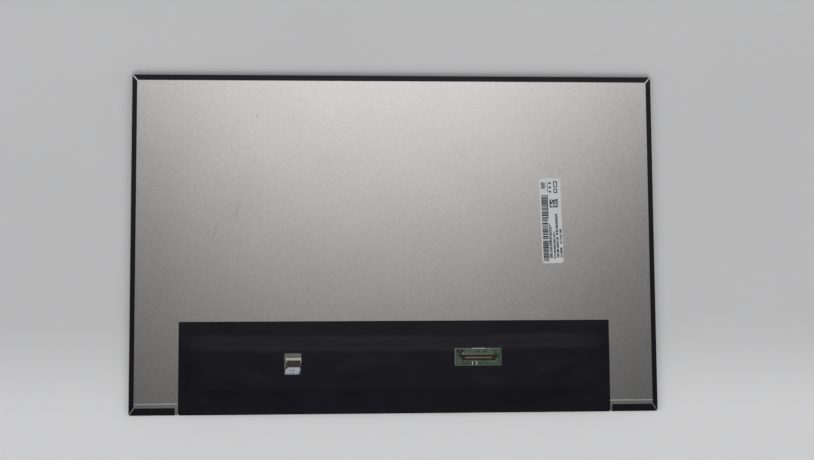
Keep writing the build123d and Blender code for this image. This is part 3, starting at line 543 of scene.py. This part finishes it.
# gives the eye a flat chalky white
legend_ink = moulded_plastic("white_screen_printed_epoxy", "#D5D8D6", "#ECEEEC", 0.6, 0.6)
print("finishes so far:", len(bpy.data.materials))

# %% Copper ring, pads and vias
board_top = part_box("control_board")[1].z / MM
bm = bmesh.new()
copper_height = 0.035
(x0, x1), (y0, y1) = signal_window
ring_sides = [((x0 + 0.15, y1 - 0.85), (x1 - 0.15, y1 - 0.2)), ((x0 + 0.15, y0 + 0.2), (x1 - 0.15, y0 + 0.6)),
              ((x0 + 0.15, y0 + 0.6), (x0 + 0.75, y1 - 0.85)), ((x1 - 0.5, y0 + 0.6), (x1 - 0.15, y1 - 0.85)),
              ((x0 + 0.75, y1 - 2.2), (x0 + 1.2, y1 - 0.85))]
flex_pads = [((-73.7, -75.0), (-62.6, -73.1)), ((-73.7, -76.1), (-71.9, -75.0)), ((-63.5, -76.1), (-62.6, -75.0)),
             ((-73.7, -83.2), (-73.0, -76.1))]
for low, high in ring_sides + flex_pads:
    add_block(bm, (*low, board_top), (*high, board_top + copper_height))
for band_x, band_y, count in (((47.0, 69.5), (-73.0, -71.4), 12), ((55.5, 69.5), (-81.2, -79.7), 10)):
    for i in range(count):
        via = Matrix.Translation(Vector((dice.uniform(*band_x), dice.uniform(*band_y), board_top)) * MM)
        bmesh.ops.create_cone(bm, cap_ends=True, segments=12, radius1=dice.uniform(0.2, 0.4) * MM, radius2=0.15 * MM,
                              depth=2 * copper_height * MM, matrix=via)
board_copper = finish_piece(bm, "board_ground_copper", dull_tin)

# %% White lines on the board
ink_height = 0.02
bm = bmesh.new()
# the small upright bar from x 44.3 to 44.85 mm is white print that stands in for the bright glint of a tin tab: a
# painted highlight
for low, high in (((50.7, -82.0), (51.1, -79.4)), ((53.5, -82.0), (53.9, -79.4)), ((44.3, -75.2), (44.85, -73.6)),
                  ((50.6, -70.8), (52.6, -70.5)), ((53.2, -70.8), (55.6, -70.5)), ((56.2, -70.8), (59.4, -70.5))):
    add_block(bm, (*low, board_top + copper_height), (*high, board_top + copper_height + ink_height))
finish_piece(bm, "board_legend_and_painted_glint", legend_ink)

# %% [markdown]
# Three small parts stand beside the wide socket: a black moulded coil with a pale mark and two brown capacitors.
# Each starts as a block. Bevelled edges catch a thin light, as moulded and fired edges do.

# %% Small parts beside the socket
# gives the eye a dull black with soft edges
black_epoxy = moulded_plastic("moulded_black_epoxy", "#17171A", "#222226", 0.55, 0.6)
# gives the eye a smooth brown with a slight shine
barium_ceramic = moulded_plastic("fired_brown_ceramic", "#33281C", "#4A3B2A", 0.4, 0.4)
coil_height = 0.55
bm = bmesh.new()
add_block(bm, (40.3, -73.5, board_top), (44.3, -71.5, board_top + coil_height))
upright = [e for e in bm.edges if abs(e.verts[0].co.z - e.verts[1].co.z) > 1e-5]
bmesh.ops.bevel(bm, geom=upright, offset=0.8 * MM, segments=5, profile=0.5, affect="EDGES", material=-1)
rim = [e for e in bm.edges if all(v.co.z > (board_top + 0.5) * MM for v in e.verts)]
bmesh.ops.bevel(bm, geom=rim, offset=0.12 * MM, segments=2, profile=0.5, affect="EDGES", material=-1)
finish_piece(bm, "board_coil", black_epoxy)
bm = bmesh.new()
add_block(bm, (41.7, -72.65, board_top + coil_height), (43.0, -72.35, board_top + coil_height + ink_height))
finish_piece(bm, "board_coil_mark", dull_tin)

# %% Capacitors and their ends
capacitor_sides = (44.2, 46.9)
bm = bmesh.new()
for x in capacitor_sides:
    add_block(bm, (x + 0.3, -80.9, board_top), (x + 1.6, -79.9, board_top + 0.5))
bmesh.ops.bevel(bm, geom=bm.edges[:], offset=0.08 * MM, segments=2, profile=0.5, affect="EDGES", material=-1)
finish_piece(bm, "board_capacitors", barium_ceramic)
bm = bmesh.new()
for x in capacitor_sides:
    for left, right in ((x, x + 0.35), (x + 1.55, x + 1.9)):
        add_block(bm, (left, -80.92, board_top), (right, -79.88, board_top + 0.52))
bmesh.ops.bevel(bm, geom=bm.edges[:], offset=0.08 * MM, segments=2, profile=0.5, affect="EDGES", material=-1)
finish_piece(bm, "board_capacitor_ends", dull_tin)

# %% [markdown]
# ## The two connectors
#
# The wide socket is brown-black liquid-crystal polymer with gold-plated contacts. The small one is cream nylon
# with a dark grey locking lever. Their tails sit in solder, which wets up each tail as a small fillet, so every
# tail gets a pad with its edges rolled over by a bevel.

# %% Connector plastics
# gives the eye a brown near-black with a satin sheen
socket_polymer = moulded_plastic("brown_liquid_crystal_polymer", "#1C1206", "#2D1E0C", 0.42, 2.5)
# gives the eye a warm off-white
cream_nylon = moulded_plastic("cream_moulded_nylon", "#ABA89C", "#B6B2A6", 0.45, 2.0)
# gives the eye a dark grey, lighter than the film round it
lever_nylon = moulded_plastic("dark_grey_moulded_nylon", "#2D2A2A", "#383535", 0.5, 1.5)
dress(socket_polymer, "signal_connector_housing")
dress(cream_nylon, "backlight_connector_housing")
dress(lever_nylon, "backlight_connector_lever")

# %% Contact plating
tails_from, tails_full = -75.4, -75.0  # the tin on the tails starts and is full at these y, in mm
bright_y, unshaded_x = (-76.8, 0.45), (55.0, 9.0)  # middle and half width of the gold that shows, in mm
# gives the eye a row of pale gold in a dark slot, with painted shade darkening the outer contacts at both ends of the
# row, and grey tails behind it
contact_plating, tree, shader, place = start_material("gold_flash_and_tinned_tails")
across = add(tree, "ShaderNodeSeparateXYZ", {}, {0: place})
tinned = add(tree, "ShaderNodeMapRange", {},
             {"Value": across.outputs["Y"], "From Min": tails_from * MM, "From Max": tails_full * MM})
from_row = add(tree, "ShaderNodeMath", {"operation": "COMPARE"},
               {0: across.outputs["Y"], 1: bright_y[0] * MM, 2: bright_y[1] * MM})
# painted shade: outside this span along x the contacts get the dark nickel colour, as if the end posts shaded them
unshaded_middle = add(tree, "ShaderNodeMath", {"operation": "COMPARE"},
           {0: across.outputs["X"], 1: unshaded_x[0] * MM, 2: unshaded_x[1] * MM})
unshaded_gold = add(tree, "ShaderNodeMath", {"operation": "MULTIPLY"}, {0: from_row.outputs[0], 1: unshaded_middle.outputs[0]})
worn = add(tree, "ShaderNodeTexNoise", {}, {"Vector": place, "Scale": per_mm(1.8), "Detail": 2.0})
gold = add(tree, "ShaderNodeMix", {"data_type": "RGBA"},
           {0: worn.outputs[0], 6: linear("#BCA48F"), 7: linear("#D9C6B2")})
# dark nickel off the gold stripe, which is also the painted shade on the row's outer contacts
nickel_and_end_shade = add(tree, "ShaderNodeMix", {"data_type": "RGBA"},
             {0: unshaded_gold.outputs[0], 6: linear("#4A3A2C"), 7: gold.outputs[2]})
plating = add(tree, "ShaderNodeMix", {"data_type": "RGBA"},
              {0: tinned.outputs[0], 6: nickel_and_end_shade.outputs[2], 7: linear("#B4B4AA")})
shader.inputs["Metallic"].default_value = 0.7
shader.inputs["Roughness"].default_value = 0.45
tree.links.new(plating.outputs[2], shader.inputs["Base Color"])
dress(contact_plating, "signal_connector_contacts")
# gives the eye a dull mid grey beside the brighter solder
anchor_tin = soft_metal("matt_tinned_brass", "#73756C", "#A3A59C", 0.6, 1.2)
dress(anchor_tin, "signal_connector_anchors", "backlight_connector_anchors")
dress(dull_tin, "backlight_connector_contacts")

# %% Solder pads
pad_height, pad_half = 0.09, 0.16
bm = bmesh.new()
for middle_x, count, y_span in ((55.0, 40, (-74.6, -73.7)), (-67.7, 16, (-75.95, -74.75))):
    for i in range(count):
        x = middle_x + (i - (count - 1) / 2) * contact_pitch
        add_block(bm, (x - pad_half, y_span[0], board_top), (x + pad_half, y_span[1], board_top + pad_height))
for x_span, y_span in (((-73.1, -72.75), (-81.5, -80.5)), ((-62.65, -62.3), (-81.5, -80.5))):
    add_block(bm, (x_span[0], y_span[0], board_top), (x_span[1], y_span[1], board_top + pad_height))
top_edges = [e for e in bm.edges if all(v.co.z > (board_top + 0.05) * MM for v in e.verts)]
bmesh.ops.bevel(bm, geom=top_edges, offset=0.06 * MM, segments=2, profile=0.5, affect="EDGES", material=-1)
solder_pads = finish_piece(bm, "solder_pads", tin)

# %% [markdown]
# ## The white flex and its print
#
# The lamps' flex is polyimide with a white cover coat. A few grey printed marks show on its tail. A texture could
# hold them, but they are thin blocks like the other print, laid on the flat end of the tail.

# %% Flex finish and marks
# gives the eye a cool white with a soft shine
white_coat = moulded_plastic("white_cover_coat_on_polyimide", "#A6A7B3", "#BABBC7", 0.4, 3.0)
# gives the eye a flat mid grey
grey_ink = moulded_plastic("grey_screen_print", "#6E7078", "#84868E", 0.6, 0.5)
dress(white_coat, "led_flex")
flex_top = 3.72
bm = bmesh.new()
for low, high in (((-70.6, -84.8), (-66.9, -84.2)), ((-68.1, -87.1), (-67.5, -85.4)),
                  ((-70.0, -87.1), (-69.6, -86.0)), ((-72.4, -87.1), (-72.1, -86.3))):
    add_block(bm, (*low, flex_top), (*high, flex_top + ink_height))
finish_piece(bm, "flex_marks", grey_ink)

# %% [markdown]
# ## The layers inside
#
# The screen's own layers and the board's parts are hidden in this view, but they show at the edges and when
# the panel is taken apart, so each has the finish of its real material.

# %% Plastics of the hidden layers
# gives the eye a dull near-black without clear reflections
screen_film = moulded_plastic("anti_glare_polarizer_film", "#0C0D10", "#111216", 0.42, 0.3)
# gives the eye a flat soft black
black_adhesive = moulded_plastic("black_acrylic_adhesive_tape", "#0E0E0E", "#181818", 0.6, 1.0)
# gives the eye a plain white with a low sheen
white_frame = moulded_plastic("white_moulded_polycarbonate", "#B2B2AE", "#BFBFBB", 0.45, 4.0)
# gives the eye a bright silky white
optical_sheet = moulded_plastic("stretched_optical_polyester", "#D9DBDD", "#E9EBED", 0.3, 12.0)
# gives the eye a pale glossy edge with a hint of green
guide_acrylic = moulded_plastic("moulded_clear_acrylic", "#D3E2E2", "#E4EEEE", 0.12, 9.0)
# gives the eye a matt yellow
lamp_package = moulded_plastic("phosphor_filled_silicone", "#E0C560", "#EBD98C", 0.4, 0.4)
# gives the eye a dull cream
pale_adhesive = moulded_plastic("pale_transfer_adhesive", "#C8C5B8", "#D8D5CA", 0.55, 2.0)
# gives the eye a glossy orange-brown
amber_film = moulded_plastic("amber_polyimide_film", "#7A4416", "#96581F", 0.3, 3.0)
# gives the eye a smooth slate grey with sharp reflections
bare_silicon = moulded_plastic("ground_bare_silicon", "#44464C", "#565962", 0.2, 2.0)
# gives the eye a dry charcoal grey
ferrite = moulded_plastic("pressed_dark_ferrite", "#2C2C2E", "#3B3B3D", 0.65, 0.5)
print("finishes so far:", len(bpy.data.materials))

# %% Glass, and dressing the hidden layers
# gives the eye a clear, faintly green edge with sharp reflections
cell_glass, tree, shader, place = start_material("thinned_display_glass")
etch = add(tree, "ShaderNodeTexNoise", {}, {"Vector": place, "Scale": per_mm(20.0), "Detail": 2.0})
rough = add(tree, "ShaderNodeMapRange", {}, {"Value": etch.outputs[0], "To Min": 0.03, "To Max": 0.09})
shader.inputs["Base Color"].default_value = linear("#C9D6D2")
shader.inputs["Transmission Weight"].default_value = 0.6
shader.inputs["IOR"].default_value = 1.51
tree.links.new(rough.outputs[0], shader.inputs["Roughness"])

dress(cell_glass, "colour_filter_glass", "array_glass")
dress(screen_film, "front_polarizer", "rear_polarizer")
dress(black_adhesive, "rim_tape")
dress(white_frame, "mould_frame")
dress(optical_sheet, "upper_prism_sheet", "lower_prism_sheet", "diffuser_sheet", "reflector_sheet")
dress(guide_acrylic, "light_guide_plate")
dress(lamp_package, "backlight_leds")
dress(pale_adhesive, "led_flex_tape", "board_tape")
dress(amber_film, *[name for name in nodes if name.startswith("driver_film")])
dress(bare_silicon, *[name for name in nodes if name.startswith("driver_chip")])
dress(black_epoxy, "timing_controller", "memory_chip", "power_chip", "backlight_driver_chip")
dress(ferrite, *[name for name in nodes if name.startswith("power_inductor")])
dress(barium_ceramic, "chip_capacitors")

# %% [markdown]
# ## Floor and light
#
# A pale floor under the panel takes its shadow. A metal plate shows what it faces: the top of this one faces a
# bright light and its bottom a dim room, which is the slow fade over it. So three softboxes hang in a row above
# and beyond the top edge, each dimmer than the one behind it. Far, even walls light the rest. Suns with a wide
# angle stand in for them, and mirrors don't show these, so the plate doesn't flash white from other sides.

# %% Floor
# gives the eye a soft pale grey without reflections, with painted light making it lighter towards the viewer
floor_paint, tree, shader, place = start_material("matt_pale_studio_floor")
drift_mm, painted_light_from, painted_light_to = 1000 / 3, -45, -120
drift = add(tree, "ShaderNodeTexNoise", {}, {"Vector": place, "Scale": per_mm(drift_mm), "Detail": 2.0})
depth = add(tree, "ShaderNodeSeparateXYZ", {}, {0: place})
# painted light: from y -45 mm to -120 mm the floor turns lighter towards the viewer, as if more light fell there
painted_light_sweep = add(tree, "ShaderNodeMapRange", {"interpolation_type": "SMOOTHSTEP"},
            {"Value": depth.outputs["Y"], "From Min": painted_light_from * MM, "From Max": painted_light_to * MM})
far = add(tree, "ShaderNodeMix", {"data_type": "RGBA"},
          {0: drift.outputs[0], 6: linear("#CBCBCD"), 7: linear("#D2D2D4")})
colour = add(tree, "ShaderNodeMix", {"data_type": "RGBA"},
             {0: painted_light_sweep.outputs[0], 6: far.outputs[2], 7: linear("#E6E6E8")})
shader.inputs["Roughness"].default_value = 0.9
shader.inputs["Specular IOR Level"].default_value = 0.2
tree.links.new(colour.outputs[2], shader.inputs["Base Color"])
bm = bmesh.new()
floor_radius = 8
bmesh.ops.create_circle(bm, cap_ends=True, segments=64, radius=floor_radius)
floor_mesh = bpy.data.meshes.new("floor")
bm.to_mesh(floor_mesh)
bm.free()
floor_mesh.materials.append(floor_paint)
floor = bpy.data.objects.new("floor", floor_mesh)
bpy.context.scene.collection.objects.link(floor)
print("floor radius in m:", floor_radius)

# %% Room
room_low, room_high = 0.7, 0.085  # light from the level of the floor, and from overhead
world = bpy.data.worlds.new("dim_studio")
bpy.context.scene.world = world
world.use_nodes = True
tree = world.node_tree
upward = add(tree, "ShaderNodeSeparateXYZ", {}, {0: tree.nodes.new("ShaderNodeTexCoord").outputs["Generated"]})
room = add(tree, "ShaderNodeMapRange", {"interpolation_type": "SMOOTHSTEP"},
           {"Value": upward.outputs["Z"], "From Min": 0.0, "From Max": 0.75, "To Min": room_low, "To Max": room_high})
tree.nodes["Background"].inputs["Color"].default_value = linear("#FFFFFF")
tree.links.new(room.outputs[0], tree.nodes["Background"].inputs["Strength"])
print("room light, level and overhead:", room_low, room_high)

# %% Lamps
def hang_lamp(lamp, place, aim):
    """Hangs a lamp at a place, facing a point, out of the camera's sight."""
    lamp_object = bpy.data.objects.new(lamp.name, lamp)
    lamp_object.location = place
    lamp_object.rotation_euler = (Vector(aim) - Vector(place)).to_track_quat("-Z", "Y").to_euler()
    lamp_object.visible_camera = False
    bpy.context.scene.collection.objects.link(lamp_object)
    return lamp_object


lamp_height, wall_angle = 1.5, 40
# middle x and y, width and depth in metres, radiance
for name, x, y, width, depth, radiance in (("far_softbox", 0.09, 0.565, 1.34, 0.235, 2.1),
                                           ("middle_softbox", 0.06, 0.3275, 0.78, 0.24, 1.27),
                                           ("near_softbox", 0.02, 0.06, 0.70, 0.295, 0.44)):
    softbox = bpy.data.lights.new(name, "AREA")
    softbox.shape, softbox.size, softbox.size_y = "RECTANGLE", width, depth
    softbox.energy = radiance * math.pi * width * depth
    softbox.color = linear("#FEFFFA")[:3]
    hang_lamp(softbox, (x, y, lamp_height), (x, y, 0))
for name, place, strength in (("left_wall", (-1.6, -0.4, 0.8), 0.85), ("right_wall", (1.6, -0.4, 0.8), 0.78),
                              ("near_wall", (0, -1.4, 0.8), 1.62)):
    wall = bpy.data.lights.new(name, "SUN")
    wall.energy, wall.angle = strength, math.radians(wall_angle)
    hang_lamp(wall, place, (0, 0, 0)).visible_glossy = False
print("lamps:", [lamp.name for lamp in bpy.data.lights])

# %% [markdown]
# ## The camera
#
# The camera looks down on the panel from 0.87 m, a little from the left and from the bottom edge. It could be
# centred and level, but its lens, place and turn are solved so that the panel's four edges fall where they do in
# the photo. The plain view transform keeps the colours as they are written.

# %% Camera
camera_data = bpy.data.cameras.new("camera")
camera_data.sensor_width, camera_data.lens = 36, 57.494
camera = bpy.data.objects.new("camera", camera_data)
camera.location = (-0.0442, -0.0672, 0.8683)
camera.rotation_euler = [math.radians(angle) for angle in (5.01, -3.41, -0.37)]
bpy.context.scene.collection.objects.link(camera)
bpy.context.scene.camera = camera
bpy.context.scene.view_settings.view_transform = "Standard"
print("camera height in mm:", round(camera.location.z / MM, 1))
